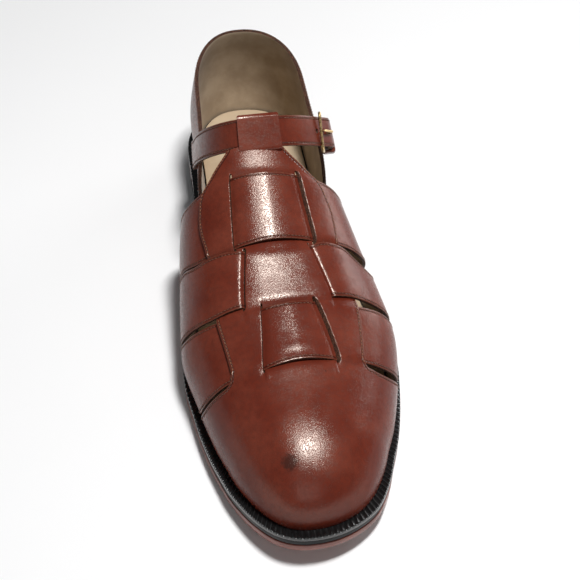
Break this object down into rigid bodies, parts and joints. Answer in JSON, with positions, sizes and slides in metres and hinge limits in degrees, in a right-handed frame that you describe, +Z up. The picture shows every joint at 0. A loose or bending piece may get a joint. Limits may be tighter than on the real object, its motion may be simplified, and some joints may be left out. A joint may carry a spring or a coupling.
{
  "type": "fisherman sandal",
  "caption": "Closed-toe sandal with a woven strap upper, ribbed welt, layered sole, low heel, heel counter and buckled ankle strap.",
  "frame": {"origin": "middle of the shoe's box on the floor it stands on", "axes": "+Z up, +Y from the toe towards the heel, -Y the way the toe points, +X the wearer's left, which is the lateral side of this left shoe"},
  "size_m": [0.1063, 0.2999, 0.1102],
  "materials": {
    "upper": "smooth polished reddish-brown leather",
    "counter": "smooth polished reddish-brown leather",
    "ankle_strap": "smooth polished reddish-brown leather",
    "buckle_tab": "smooth polished reddish-brown leather",
    "keeper_loop": "smooth polished reddish-brown leather",
    "buckle_frame": "satin",
    "buckle_prong": "satin",
    "insole": "matt cream lining",
    "welt": "ribbed satin black",
    "midsole": "glossy black edge",
    "outsole": "polished brown edge",
    "heel_stack": "glossy black edge",
    "top_lift": "matt black"
  },
  "bodies": {
    "root": {"upper": "upper", "counter": "counter", "ankle_strap": "ankle_strap", "buckle_tab": "buckle_tab", "keeper_loop": "keeper_loop", "buckle_frame": "buckle_frame", "buckle_prong": "buckle_prong", "insole": "insole", "welt": "welt", "midsole": "midsole", "outsole": "outsole", "heel_stack": "heel_stack", "top_lift": "top_lift"}
  },
  "joints": []
}
